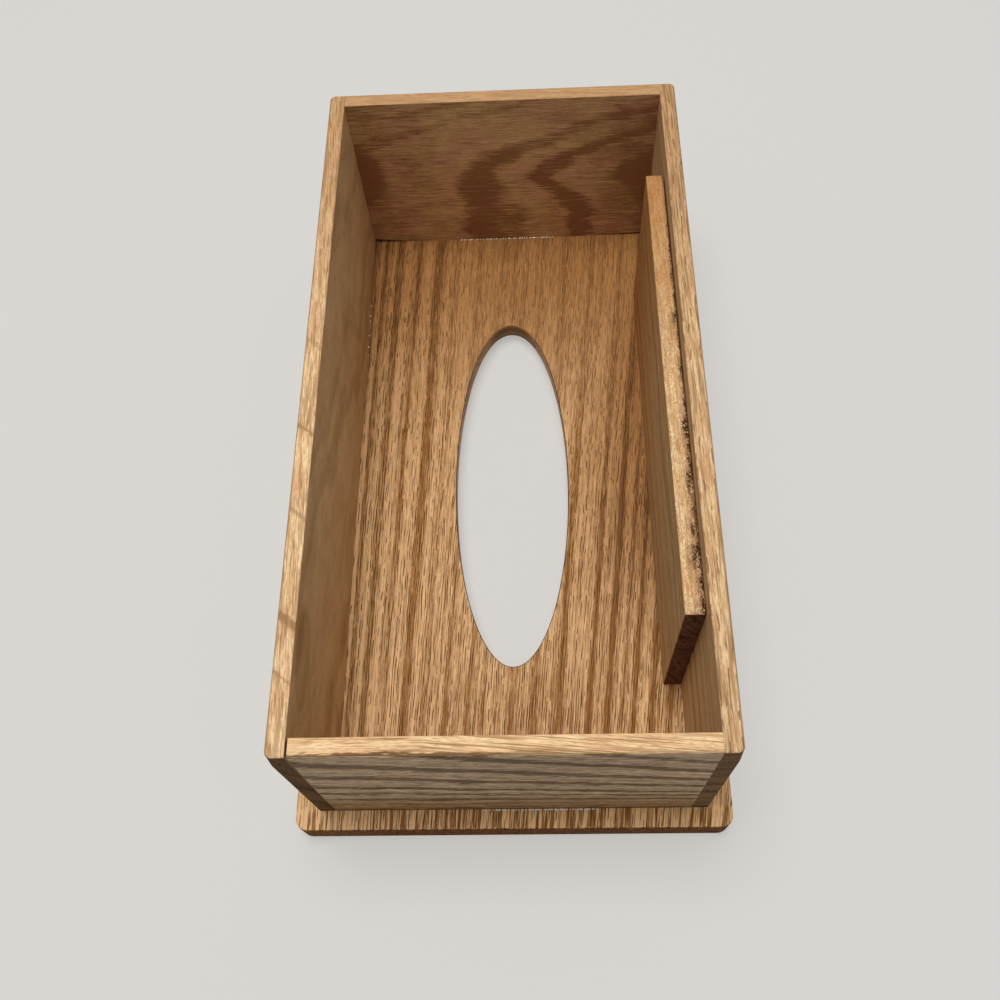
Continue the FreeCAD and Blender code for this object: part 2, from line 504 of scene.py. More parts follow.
def varnish(graph, shader, base, grain, roughness, relief, shine=VARNISH_SHINE):
    """Satin varnish over the wood: colour, sheen and the relief of the open grain."""
    graph.join(base, shader.inputs["Base Color"])
    shader.inputs["Specular IOR Level"].default_value = shine
    graph.join(graph.add(roughness, graph.times(grain["Pores"], PORE_ROUGHNESS)), shader.inputs["Roughness"])
    bump = graph.put("Bump")
    graph.join(1.0, bump.inputs["Strength"])
    graph.join(relief, bump.inputs["Distance"])
    graph.join(grain["Height"], bump.inputs["Height"])
    graph.join(bump.outputs["Normal"], shader.inputs["Normal"])


# Below, each board has its own values. A stray of its rings is a noise size and a reach, in mm. Spots are a
# noise size and the values between which they appear. A zone is a ramp over mm: from, to, and the values
# there if they aren't 0 and 1. Loose rings are a width and a start.

# --- top panel ---
# dark bands: place across the box at mid length, half width in mm, and strength
PANEL_BANDS = (
    (-67.4, 1.8, 0.8),
    (-62.8, 1.9, 0.85),
    (-56.2, 2.5, 0.9),
    (-47.7, 1.8, 0.7),
    (-38.7, 2.7, 0.85),
    (-30.6, 1.8, 0.4),
    (-20.8, 1.9, 0.6),
    (-10.5, 2.0, 0.5),
    (-5.0, 1.4, 0.5),
    (7.7, 1.8, 0.55),
    (17.5, 2.6, 0.6),
    (28.3, 2.6, 0.75),
    (41.6, 2.0, 0.8),
    (49.5, 2.2, 1.0),
    (55.8, 1.2, 0.6),
    (60.6, 1.8, 0.9),
    (68.2, 2.2, 0.9),
    (76.0, 2.2, 0.7),
)
PANEL_LEAN = 0.072          # mm across for each mm along
PANEL_FAN = 0.00085         # share by which the bands' spacing grows for each mm along
PANEL_DEPTH_LEAN = 0.35     # mm to the left for each mm down into the board
PANEL_WANDER = ((25.0, 120.0, 25.0), 2.0)
PANEL_FRAY = ((0.8, 10.0, 0.8), 2.2)
PANEL_FINE_RINGS = (2.2, 4.0)
PANEL_FINE_SHARE = 0.35
# the overhang at both ends, which has streaks in place of bands
LEDGE = (139.0, 142.0)
LEDGE_STREAKS = ((1.2, 40.0, 1.2), (0.45, 0.58, -0.6, 1.15))
LEDGE_SHARE = 0.8
# calm at the back right, where bands and pores fade
CALM_ALONG = (-40.0, 110.0)
CALM_ACROSS = (-45.0, -12.0)
CALM_FIGURE = 0.55
CALM_PORES = 0.4
# painted shade at the back, standing in for the back end's shadow, and along the right, standing in for the
# spacer's shade over wood that is also darker and redder there
PANEL_SHADE_ACROSS = (15.0, 60.0)
PANEL_SHADE_ALONG = (-100.0, -20.0)
PANEL_SHADE_FAR = (-20.0, 120.0)
# paler along the left, darker between the slot and the front end, and more crowded pores towards the front
BARE_ACROSS = (-44.0, -58.0)
BARE_SHARE = -0.32
FORE_ACROSS = (50.0, 18.0)
FORE_ALONG = (-82.0, -104.0, 0.0, 0.2)
FORE_INSIDE = (-142.0, -139.0)
CROWD_ALONG = (60.0, -100.0, 0.0, 0.7)
# past this along the box, a face that looks along it is the panel's end, and before it the slot's wall
PANEL_END_FROM = (130.0, 140.0)
# the slot's wall, from its roundover up to its broken inner edge, as ramps over the height in mm; the dark
# band below the lip is painted shadow and the pale lip is painted light
SLOT_WOOD_BELOW = (5.8, 4.0)
SLOT_FOOT_BELOW = (8.4, 6.6)
SLOT_LIT_LIP_ABOVE = (10.2, 12.5)
ARRIS_OFF_LEVEL = (0.92, 0.8)       # over how far the surface faces up
ARRIS_OFF_UPRIGHT = (0.1, 0.5)
ARRIS_ACROSS = (40.0, 30.0)
ARRIS_FAR_END = (78.0, 60.0)
ARRIS_NEAR_END = (-110.0, -100.0)


def panel_rings(graph, place):
    """The panel's ring field, and the place in mm as the grain that follows the rings sees it."""
    across, along, depth = graph.axes(place)
    leaned = graph.minus(across, graph.times(along, PANEL_LEAN))
    field = graph.over(leaned, graph.add(1.0, graph.times(along, PANEL_FAN)))
    inwards = graph.times(graph.minus(PANEL_TOP, depth), PANEL_DEPTH_LEAN)
    field = graph.add(field, inwards, shifted_noise(graph, place, *PANEL_WANDER))
    followed = graph.combine(field, along, depth)
    return graph.add(field, shifted_noise(graph, place, *PANEL_FRAY)), followed


def panel_figure(graph, field, followed, across, along, calm):
    """How dark the rings are: banded inside, streaked on the overhang, faint towards the back right."""
    figure = add_bands(graph, field, PANEL_BANDS)
    fine = loose_rings(graph, field, *PANEL_FINE_RINGS)
    figure = graph.larger(figure, graph.times(fine, PANEL_FINE_SHARE))
    ledge = graph.times(graph.ramp(graph.absolute(along), *LEDGE), LEDGE_SHARE)
    streaks = graph.spots(followed, *LEDGE_STREAKS, detail=3.0, roughness=0.6)
    figure = graph.mix(ledge, figure, streaks)
    figure = graph.times(figure, graph.minus(1.0, graph.times(calm, CALM_FIGURE)))
    bare = graph.times(graph.ramp(across, *BARE_ACROSS), BARE_SHARE)
    fore = graph.times(graph.ramp(graph.absolute(across), *FORE_ACROSS), graph.ramp(along, *FORE_ALONG))
    fore = graph.times(fore, graph.ramp(along, *FORE_INSIDE))
    return graph.add(figure, bare, fore)


def slot_wall(graph, depth, wood):
    """The slot's cut wall: painted light at its lip, painted shadow below, grey at its foot, and wood on the
    roundover.
    """
    wall = graph.mix(graph.ramp(depth, *SLOT_FOOT_BELOW), colour(SLOT_SHADOW), colour(SLOT_FOOT))
    wall = graph.mix(graph.ramp(depth, *SLOT_LIT_LIP_ABOVE), wall, colour(SLOT_LIT_LIP))
    return graph.mix(graph.ramp(depth, *SLOT_WOOD_BELOW), wall, wood)


def slot_arris(graph, across, along):
    """1 on the slot's broken inner edge along both its long sides."""
    off_level = facing(graph, Z, 1, *ARRIS_OFF_LEVEL)
    arris = graph.times(off_level, graph.ramp(graph.absolute(across), *ARRIS_ACROSS))
    arris = graph.times(arris, graph.ramp(along, *ARRIS_FAR_END), graph.ramp(along, *ARRIS_NEAR_END))
    return graph.times(arris, facing(graph, Z, 1, *ARRIS_OFF_UPRIGHT))


def panel_oak():
    """Bands that run along the box, lean over towards the front left and fade towards the back right."""
    material, graph, shader = new_material("panel oak")
    place = wood_place(graph, (X, Y, Z))
    across, along, depth = graph.axes(place)
    field, followed = panel_rings(graph, place)
    calm = graph.times(graph.ramp(along, *CALM_ALONG), graph.ramp(across, *CALM_ACROSS))
    figure = panel_figure(graph, field, followed, across, along, calm)
    grain = oak_grain(graph, followed, figure, graph.ramp(along, *CROWD_ALONG))
    openness = graph.minus(1.0, graph.times(calm, CALM_PORES))
    # painted shade: the shaded copy of the wood at the back and along the right
    right = graph.times(graph.ramp(across, *PANEL_SHADE_ACROSS), graph.ramp(along, *PANEL_SHADE_ALONG))
    painted_shade = graph.larger(right, graph.ramp(along, *PANEL_SHADE_FAR))
    lit = tint(graph, grain, PANEL_TINT, openness=openness)
    face = graph.mix(painted_shade, lit, tint(graph, grain, PANEL_SHADED_TINT, openness=openness))
    slot = slot_wall(graph, depth, tint(graph, grain, PANEL_SHADED_TINT))
    outer = graph.ramp(graph.absolute(along), *PANEL_END_FROM)
    edge = graph.mix(outer, slot, tint(graph, grain, PANEL_END_TINT))
    end = facing(graph, Y)
    base = graph.mix(end, face, edge)
    base = graph.mix(slot_arris(graph, across, along), base, colour(SLOT_ARRIS))
    rougher = graph.times(end, END_GRAIN_ROUGHNESS - PANEL_ROUGHNESS)
    varnish(graph, shader, base, grain, graph.add(PANEL_ROUGHNESS, rougher), PANEL_RELIEF)
    return material


# --- sanded rims ---
RIM_PATCHES = ((2.2, 13.0, 2.2), (0.38, 0.62))
RIM_LUMPS = ((1.3, 8.0, 1.3), (0.5, 0.64))
RIM_LINE_WIDTH = 0.45
RIM_LINES = (0.52, 0.62)     # only the values, because each board has its own line length
RIM_BOLD_WIDTH = 0.9
RIM_BOLD_LENGTH = 1.5        # times the length of a line
RIM_BOLD = (0.54, 0.62)
RIM_BOLD_SHARE = 0.7
RIM_HAIRS = ((0.28, 2.4, 0.28), (0.4, 0.8))
RIM_HAIR_SHARE = 0.75
# painted sheen: the rims' own tints near the front, fading towards a darker colour further back
RIM_SHEEN_FADE = (-30.0, 130.0, 0.0, 0.8)
RAY_FRAY = ((0.8, 1.4, 0.8), 3.5)
RAY_SHARE = 0.75
# where sanded wood and its rounding begin, over how far the surface faces up or out; the rounding gets
# painted shade
SANDED_UP = (0.35, 0.6)
SANDED_OUT = (-0.75, -0.45)
ROUNDING_OUT = (0.15, 0.5)


def rim_wood(graph, place, tints, streak_share, lump_share=0.75, line_length=13.0, rays=(), without_sheen=RIM_WITHOUT_SHEEN):
    """The sanded rim: pale and rosy wood, wavy brown streaks, and wide rays. Darker towards the back, where
    the painted sheen fades.
    """
    pale, rosy, brown = (colour(values) for values in tints)
    shade = graph.spots(place, *RIM_PATCHES)
    sheen_fade = graph.ramp(graph.axes(wood_place(graph, (X, Y, Z)))[Y], *RIM_SHEEN_FADE)
    base = graph.mix(sheen_fade, graph.mix(shade, pale, rosy), colour(without_sheen))
    lumps = graph.spots(place, *RIM_LUMPS, detail=3.0, roughness=0.6)
    lines = graph.spots(place, (RIM_LINE_WIDTH, line_length, RIM_LINE_WIDTH), RIM_LINES, roughness=0.6)
    bold = graph.spots(place, (RIM_BOLD_WIDTH, line_length * RIM_BOLD_LENGTH, RIM_BOLD_WIDTH), RIM_BOLD)
    lines = graph.larger(lines, graph.times(bold, RIM_BOLD_SHARE))
    hairs = graph.spots(place, *RIM_HAIRS, detail=1.0)
    marks = graph.larger(graph.times(lumps, lump_share), lines, graph.times(hairs, RIM_HAIR_SHARE))
    base = graph.mix(graph.times(marks, streak_share), base, brown)
    if rays:
        _, along, depth = graph.axes(place)
        leaning = graph.times(graph.minus(depth, LEFT_MIDDLE), RAY_LEAN)
        leaning = graph.add(along, leaning, shifted_noise(graph, place, *RAY_FRAY))
        base = graph.mix(graph.times(add_bands(graph, leaning, rays), RAY_SHARE), base, brown)
    return base


def slide(graph, place, slope, level_until=-200.0):
    """The same place, with the depth sliding along the grain, so that lines cross a rim at a slant."""
    across, along, depth = graph.axes(place)
    run = graph.larger(along, level_until)
    return graph.combine(across, along, graph.add(depth, graph.times(run, slope)))


def finish_wall(
    graph, shader, grain, faces, end_axis, outward, edge=0.6, roughness=WALL_ROUGHNESS, shine=VARNISH_SHINE
):
    """Varnished wall: its own colour inside, outside, on the sanded rim and on the dark end grain, with
    painted shade on the rim's outer rounding, of strength edge.
    """
    inside, outside, rim, end_grain = faces
    out_axis, out_sign = outward
    base = graph.mix(facing(graph, out_axis, out_sign), inside, outside)
    end = facing(graph, end_axis)
    base = graph.mix(end, base, tint(graph, grain, end_grain))
    upwards = facing(graph, Z, 1, *SANDED_UP)
    sanded = graph.times(upwards, facing(graph, out_axis, -out_sign, *SANDED_OUT))
    rounding = facing(graph, out_axis, out_sign, *ROUNDING_OUT)
    # painted shade on the rim's outer rounding
    rim = graph.mix(graph.times(rounding, edge), rim, colour(RIM_ROUNDING_SHADE))
    base = graph.mix(sanded, base, rim)
    rougher = graph.times(end, END_GRAIN_ROUGHNESS - roughness)
    varnish(graph, shader, base, grain, graph.add(roughness, rougher), WALL_RELIEF, shine)


# --- left side ---
# rays across its rim, in mm from the box's middle along it: place, half width, strength
LEFT_RAYS = (
    (-116.5, 1.1, 0.7),
    (-97.0, 2.6, 1.0),
    (-57.5, 1.8, 0.7),
    (-23.5, 1.6, 0.8),
    (14.5, 1.8, 0.4),
)
RAY_LEAN = 0.8
LEFT_MIDDLE = -72.0
LEFT_PATCH = (-105.0, 85.0)        # middle of a dark patch, along and up the box
LEFT_PATCH_SIZE = (18.0, 10.0)     # half its length and half its height
LEFT_PATCH_EDGES = (1.15, 0.8)
LEFT_PATCH_FRAY = 0.08
LEFT_PATCH_SHARE = 0.5
LEFT_LEAN = 0.45
LEFT_DEPTH_LEAN = 1.4
LEFT_WANDER = ((45.0, 60.0, 45.0), 55.0)
LEFT_FRAY = ((1.5, 9.0, 1.5), 5.0)
LEFT_RINGS = (17.0, 2.6)
LEFT_RING_SHARE = 0.5
LEFT_BLOTCHES = ((13.0, 20.0, 13.0), (0.35, 0.65))
LEFT_BLOTCH_SHARE = 0.35
LEFT_GRIME = ((1.0, 2.2, 1.0), 0.7)
LEFT_HUES = (11.0, 16.0, 11.0)
LEFT_PALER = (60.0, 134.0, 0.0, -0.12)
LEFT_SLOPE = 0.03        # of the streaks along the rim
LEFT_STREAKS = 0.8       # how strong they are


def left_side_oak():
    """Soft blotches and slanting rings inside, paler towards the back; rays across the rim."""
    material, graph, shader = new_material("left side oak")
    place = wood_place(graph, (Z, Y, X))
    across, along, depth = graph.axes(place)
    wander = shifted_noise(graph, place, *LEFT_WANDER)
    fray = shifted_noise(graph, place, *LEFT_FRAY)
    lean = graph.times(along, LEFT_LEAN)
    field = graph.add(across, lean, graph.times(depth, LEFT_DEPTH_LEAN), wander, fray)
    figure = loose_rings(graph, field, *LEFT_RINGS)
    grain = oak_grain(graph, place, figure)
    blotch = graph.spots(place, *LEFT_BLOTCHES, detail=3.0)
    frayed = graph.times(fray, LEFT_PATCH_FRAY)
    patch = oval_spot(graph, along, across, LEFT_PATCH, LEFT_PATCH_SIZE, LEFT_PATCH_EDGES, frayed)
    tone = graph.add(
        graph.times(figure, LEFT_RING_SHARE),
        graph.times(blotch, LEFT_BLOTCH_SHARE),
        shifted_noise(graph, place, *LEFT_GRIME),
        graph.times(patch, LEFT_PATCH_SHARE),
        graph.ramp(along, *LEFT_PALER),
    )
    tone = graph.clamped(tone)
    inside = two_hues(graph, place, LEFT_HUES, grain, (INSIDE_TINT, INSIDE_ROSY), tone)
    rim = rim_wood(graph, slide(graph, place, LEFT_SLOPE), SIDE_RIM_TINT, LEFT_STREAKS, rays=LEFT_RAYS)
    faces = (inside, tint(graph, grain, OUTSIDE_TINT), rim, LEFT_END_TINT)
    finish_wall(graph, shader, grain, faces, Y, (X, -1))
    return material


# --- right side ---
# dark lines inside it, in mm below the rim: place, half width, strength
RIGHT_LINES = (
    (4.0, 0.8, 0.4),
    (13.5, 0.9, 0.7),
    (17.0, 0.8, 0.8),
    (22.0, 1.1, 0.9),
    (30.0, 0.8, 0.6),
    (32.5, 0.8, 0.6),
    (44.0, 1.2, 0.4),
)
RIGHT_WANDER = ((30.0, 60.0, 30.0), 4.0)
RIGHT_FRAY = ((0.7, 9.0, 0.7), 1.6)
RIGHT_RINGS = (7.0, 7.3)
RIGHT_RING_SHARE = (30.0, 50.0, 0.4, 0.85)     # over mm below the rim
RIGHT_LOW_PALER = (30.0, 50.0, 0.0, -0.17)
RIGHT_SLOPE = 0.015
RIGHT_STREAKS = 0.8
RIGHT_LUMPS = 0.4
RIGHT_LINE_LENGTH = 22.0
RIGHT_DASH_BEND = ((3.0, 9.0, 3.0), 2.0)
RIGHT_DASH_SPACING = 1.7
RIGHT_DASH_LENGTH = 6.0
RIGHT_DASH_CROWDING = (-20.0, -120.0, 0.35, 0.9)
RIGHT_DASH_SHARE = 0.75


def right_side_oak():
    """Straight lengthwise lines inside, and dark dashes along the rim."""
    material, graph, shader = new_material("right side oak")
    place = wood_place(graph, (Z, Y, X))
    across, along, depth = graph.axes(place)
    below = graph.minus(RIM_TOP, across)
    wander = shifted_noise(graph, place, *RIGHT_WANDER)
    field = graph.add(below, wander, shifted_noise(graph, place, *RIGHT_FRAY))
    rings = graph.times(loose_rings(graph, field, *RIGHT_RINGS), graph.ramp(below, *RIGHT_RING_SHARE))
    figure = graph.larger(add_bands(graph, field, RIGHT_LINES), rings)
    figure = graph.add(figure, graph.ramp(below, *RIGHT_LOW_PALER))
    grain = oak_grain(graph, place, figure)
    slid = slide(graph, place, RIGHT_SLOPE)
    rim = rim_wood(graph, slid, RIGHT_RIM_TINT, RIGHT_STREAKS, RIGHT_LUMPS, RIGHT_LINE_LENGTH)
    bent = graph.combine(graph.add(depth, shifted_noise(graph, place, *RIGHT_DASH_BEND)), along, 0.0)
    crowding = graph.ramp(along, *RIGHT_DASH_CROWDING)
    dashes = dash_rows(graph, bent, RIGHT_DASH_SPACING, RIGHT_DASH_LENGTH, crowding)
    rim = graph.mix(graph.times(dashes, RIGHT_DASH_SHARE), rim, colour(DASH))
    faces = (tint(graph, grain, RIGHT_INSIDE_TINT), tint(graph, grain, OUTSIDE_TINT), rim, RIGHT_END_TINT)
    finish_wall(graph, shader, grain, faces, Y, (X, 1))
    return material


# --- front end ---
# dark bands of its outer face: depth below the rim at mid width, half width in mm, strength
FRONT_BANDS = (
    (-10.0, 3.4, 0.8),
    (6.6, 4.0, 1.0),
    (23.0, 4.0, 0.95),
    (37.6, 3.4, 0.95),
    (50.6, 2.6, 1.0),
    (58.4, 2.0, 0.9),
    (66.4, 2.2, 0.9),
    (74.5, 1.6, 0.5),
    (81.0, 1.6, 0.5),
)
FRONT_LEAN = 0.30                  # mm down for each mm along
FRONT_FAN = 0.004                  # share by which the bands' spacing shrinks for each mm along
FRONT_DEPTH_LEAN = 1.5             # mm up for each mm into the board
FRONT_WANDER = ((12.0, 30.0, 12.0), 5.0)
FRONT_STEPS = ((2.2, 11.0, 2.2), 5.0)
FRONT_FRAY = ((0.7, 5.0, 0.7), 5.0)
FRONT_MOTTLE = ((1.6, 3.5, 1.6), 1.0)
FRONT_FINE_RINGS = (2.6, 1.3)
FRONT_FINE_SHARE = 0.3
FRONT_CROWD = 0.5
FRONT_DARKER_BELOW = (54.0, 84.0)  # mm below the rim
# painted contact shadow along the front's foot: its height and strength
FOOT_SHADE = 3.0                   # height of the darker strip along the foot, mm
FOOT_SHADOW_STRENGTH = 0.8
FRONT_SLOPE = 0.09
FRONT_LEVEL_UNTIL = -25.0          # mm along, left of which the streaks run level
FRONT_STREAKS = 0.85
FRONT_LUMPS = 0.3
FRONT_LINE_LENGTH = 26.0
# painted shade in a ragged band along the front rim's outer edge, strongest at the left
SHADE_BAND_UNEVEN = ((0.8, 5.0, 0.8), 3.0)
SHADE_BAND_WIDTH = (1.7, 0.8)            # mm in from the outer face
SHADE_BAND_ALONG = (35.0, -20.0, 0.15, 0.9)
# strength of the painted shade on the front rim's outer rounding, ragged and stronger to the left
ROUNDING_SHADE_RAGGED = ((1.0, 5.0, 1.0), 1.6)
ROUNDING_SHADE_ALONG = (45.0, -10.0, 0.35, 1.0)


def front_figure(graph, place, below):
    """Ragged bands that slope down to the right, steepest at the rim and level at the foot, with painted
    contact shadow along the foot.
    """
    _, along, depth = graph.axes(place)
    leaned = graph.minus(below, graph.times(along, FRONT_LEAN))
    field = graph.over(leaned, graph.minus(1.0, graph.times(along, FRONT_FAN)))
    thickness = graph.times(graph.add(depth, -FRONT_FACE), FRONT_DEPTH_LEAN)
    wander = shifted_noise(graph, place, *FRONT_WANDER)
    steps = shifted_noise(graph, place, *FRONT_STEPS, detail=1.0)
    fray = shifted_noise(graph, place, *FRONT_FRAY)
    field = graph.add(field, thickness, wander, steps, fray)
    fine = loose_rings(graph, field, *FRONT_FINE_RINGS)
    figure = graph.larger(add_bands(graph, field, FRONT_BANDS), graph.times(fine, FRONT_FINE_SHARE))
    height = RIM_TOP - PANEL_TOP
    # painted contact shadow along the foot
    foot = graph.ramp(below, height - FOOT_SHADE, height, 0.0, FOOT_SHADOW_STRENGTH)
    return graph.add(figure, foot, shifted_noise(graph, place, *FRONT_MOTTLE))


def front_oak():
    """Ragged sloping bands outside, and a rim whose outer edge has painted shade, strongest at its left."""
    material, graph, shader = new_material("front end oak")
    place = wood_place(graph, (Z, X, Y))
    across, along, depth = graph.axes(place)
    below = graph.minus(RIM_TOP, across)
    grain = oak_grain(graph, place, front_figure(graph, place, below), FRONT_CROWD)
    slid = slide(graph, place, FRONT_SLOPE, FRONT_LEVEL_UNTIL)
    rim = rim_wood(graph, slid, FRONT_RIM_TINT, FRONT_STREAKS, FRONT_LUMPS, FRONT_LINE_LENGTH)
    # painted shade along the rim's outer edge, strongest at the left
    outwards = graph.minus(graph.add(depth, shifted_noise(graph, place, *SHADE_BAND_UNEVEN)), FRONT_FACE)
    shade_band = graph.times(graph.ramp(outwards, *SHADE_BAND_WIDTH), graph.ramp(along, *SHADE_BAND_ALONG))
    rim = graph.mix(shade_band, rim, colour(FRONT_EDGE_SHADE))
    low = graph.ramp(below, *FRONT_DARKER_BELOW)
    face = graph.mix(low, tint(graph, grain, FRONT_TINT), tint(graph, grain, FRONT_LOW_TINT))
    faces = (tint(graph, grain, INSIDE_TINT), face, rim, LEFT_END_TINT)
    ragged = shifted_noise(graph, place, *ROUNDING_SHADE_RAGGED)
    edge = graph.clamped(graph.ramp(along, *ROUNDING_SHADE_ALONG), ragged)
    finish_wall(graph, shader, grain, faces, X, (Y, -1), edge, FRONT_ROUGHNESS, FRONT_SHINE)
    return material


# --- back end ---
# dark bands of its inner face: mm from the left wall at the height of the peaks, half width, strength
BACK_BANDS = (
    (-98.0, 9.0, 0.5),
    (-62.0, 9.0, 0.6),
    (-24.0, 10.0, 0.7),
    (53.0, 13.0, 0.95),
    (86.0, 9.0, 1.0),
    (130.0, 15.0, 0.9),
)
BACK_PEAK_DEPTH = 47.0                  # of the peaks, below the rim
BACK_ARM_CURVE = 0.05                   # of the arms above them
BACK_FOOT_SLOPE = 0.85                  # mm to the right for each mm further down
BACK_FOOT_REACH = 15.0                  # the most that a foot goes to the right
BACK_FOOT_FROM = (58.0, 88.0, 0.15, 1.0)
BACK_DEPTH_LEAN = 0.8
BACK_WANDER = ((14.0, 22.0, 14.0), 20.0)
BACK_FRAY = ((0.7, 6.0, 0.7), 13.0)
BACK_STRONGER = (6.0, 46.0, 0.4, 1.0)   # over mm below the rim
BACK_KNOT = (-3.0, 42.0)                # from the left wall and below the rim
BACK_KNOT_SIZE = (14.0, 19.0)
BACK_KNOT_EDGES = (1.2, 0.7)
BACK_KNOT_FRAY = 0.03
BACK_SOFT = ((9.0, 16.0, 9.0), (0.35, 0.7, -0.1, 0.25))
BACK_DIM_RIGHT = (88.0, 130.0, 0.0, 0.5)
BACK_DIM_LEFT = (60.0, 0.0, 0.0, 0.35)
BACK_HUES = (14.0, 15.0, 14.0)
BACK_SLOPE = 0.02
BACK_STREAKS = 0.65


def back_rings(graph, place, from_left, below, fray):
    """The back end's ring field: nested peaks that point left, with long arms up along the rim."""
    above_peak = graph.larger(graph.minus(BACK_PEAK_DEPTH, below), 0.0)
    under_peak = graph.larger(graph.minus(below, BACK_PEAK_DEPTH), 0.0)
    arm = graph.times(graph.math("POWER", above_peak, 2.0), BACK_ARM_CURVE)
    foot = graph.math("MINIMUM", graph.times(under_peak, BACK_FOOT_SLOPE), BACK_FOOT_REACH)
    foot = graph.times(foot, graph.ramp(from_left, *BACK_FOOT_FROM))
    field = graph.minus(graph.minus(from_left, arm), foot)
    _, _, depth = graph.axes(place)
    inwards = graph.times(depth, BACK_DEPTH_LEAN)
    wander = shifted_noise(graph, place, *BACK_WANDER)
    return graph.add(field, inwards, -BACK_WALL * BACK_DEPTH_LEAN, wander, fray)


def back_oak():
    """Dark nested peaks and a knot at the left on the inner face, dimmer towards both side walls."""
    material, graph, shader = new_material("back end oak")
    place = wood_place(graph, (Z, X, Y))
    across, along, _ = graph.axes(place)
    below = graph.minus(RIM_TOP, across)
    from_left = graph.minus(along, LEFT_WALL)
    fray = shifted_noise(graph, place, *BACK_FRAY)
    field = back_rings(graph, place, from_left, below, fray)
    figure = graph.times(add_bands(graph, field, BACK_BANDS), graph.ramp(below, *BACK_STRONGER))
    frayed = graph.times(fray, BACK_KNOT_FRAY)
    knot = oval_spot(graph, from_left, below, BACK_KNOT, BACK_KNOT_SIZE, BACK_KNOT_EDGES, frayed)
    soft = graph.spots(place, *BACK_SOFT, detail=3.0)
    dim = graph.add(graph.ramp(from_left, *BACK_DIM_RIGHT), graph.ramp(from_left, *BACK_DIM_LEFT))
    grain = oak_grain(graph, place, graph.add(graph.larger(figure, knot), soft, dim))
    inside = two_hues(graph, place, BACK_HUES, grain, (BACK_TINT, BACK_ROSY))
    rim = rim_wood(graph, slide(graph, place, BACK_SLOPE), BACK_RIM_TINT, BACK_STREAKS)
    faces = (inside, tint(graph, grain, OUTSIDE_TINT), rim, LEFT_END_TINT)
    finish_wall(graph, shader, grain, faces, X, (Y, 1))
    return material


# --- spacer board ---
# places of the heaviest stains on its top edge: mm from its front end, half length, reach across, strength
STAINS = (
    (1.0, 8.0, 5.6, 0.85),
    (10.0, 7.0, 3.8, 0.85),
    (20.0, 12.0, 6.2, 1.0),
    (31.0, 8.0, 4.8, 1.0),
    (48.0, 15.0, 4.8, 1.0),
    (72.0, 18.0, 3.8, 1.0),
    (95.0, 15.0, 2.8, 0.9),
    (119.0, 7.0, 4.4, 1.0),
    (140.0, 16.0, 2.6, 0.9),
    (184.0, 18.0, 1.8, 0.8),
)
STAIN_CORE = 0.3                       # share of a stain's reach that has its full strength
STAIN_EDGE = (40.0, 90.0, 3.6, 2.2)    # reach of the stained edge, over mm from the front end
STAIN_EDGE_FULL = 0.3
HAZE_SPOTS = ((0.9, 2.2, 0.9), (0.36, 0.58, 0.25, 1.0))
STAIN_FINE = (0.4, 0.9, 0.4)
STAIN_BROAD = (1.4, 3.0, 1.4)
STAIN_FINE_SHARE = 0.65
STAIN_BROAD_SHARE = 0.35
STAIN_LIMIT = 0.68
STAIN_LOWERED = 0.26
STAIN_SOFTNESS = 0.12
SPACER_DEPTH_LEAN = 2.0
SPACER_WANDER = ((30.0, 70.0, 30.0), 30.0)
SPACER_FRAY = ((0.7, 12.0, 0.7), 3.0)
SPACER_RINGS = (6.0, 3.0)
SPACER_RING_SHARE = 0.6
SPACER_BACK_DARKER = (10.0, 97.0, 0.0, 0.5)
SPACER_BACK_FROM = (-80.0, 90.0)
CUT_SLANT = 0.4
CUTS = ((1.1, 1.0, 16.0), (0.56, 0.68, 0.0, 0.45))
END_BANDS = ((7.0, 1.0, 9.0), 1.6)
END_DARKER = 0.12
TOP_UP = (0.25, 0.5)
TOP_SLOPE = 0.03
TOP_STREAKS = 0.6
SPECKLES = ((0.5, 1.0, 0.5), (0.46, 0.62))
MOTTLE = ((1.4, 3.5, 1.4), (0.45, 0.65))
MOTTLE_SHARE = 0.7
SPECKLE_SHARE = 0.5


def add_stains(graph, place, wood, from_front, from_right):
    """Old glue along the edge that stood against the right side: brown haze full of ragged dark specks."""
    cover = graph.ramp(from_right, graph.ramp(from_front, *STAIN_EDGE), STAIN_EDGE_FULL)
    for middle, half_length, reach, strength in STAINS:
        near = graph.ramp(graph.absolute(graph.minus(from_front, middle)), half_length, 0.0)
        side = graph.ramp(from_right, reach, reach * STAIN_CORE)
        cover = graph.larger(cover, graph.times(near, side, strength))
    haze = graph.times(cover, graph.spots(place, *HAZE_SPOTS))
    wood = graph.mix(haze, wood, colour(HAZE))
    fine = graph.times(graph.noise(place, STAIN_FINE), STAIN_FINE_SHARE)
    broad = graph.times(graph.noise(place, STAIN_BROAD, detail=1.0), STAIN_BROAD_SHARE)
    limit = graph.minus(STAIN_LIMIT, graph.times(cover, STAIN_LOWERED))
    specks = graph.ramp(graph.add(fine, broad), limit, graph.add(limit, STAIN_SOFTNESS))
    return graph.mix(specks, wood, colour(STAIN))


def spacer_end(graph, grain, across, depth):
    """The board's dark sawn end: broad slanted bands under fine paler saw marks."""
    slanted = graph.combine(graph.add(across, graph.times(depth, CUT_SLANT)), 0.0, depth)
    tone = graph.add(grain["Tone"], shifted_noise(graph, slanted, *END_BANDS, detail=1.0))
    end = tint(graph, grain, SPACER_END_TINT, tone=graph.clamped(tone, END_DARKER))
    cuts = graph.spots(slanted, *CUTS, detail=1.0)
    return graph.mix(cuts, end, colour(SAW_MARK))


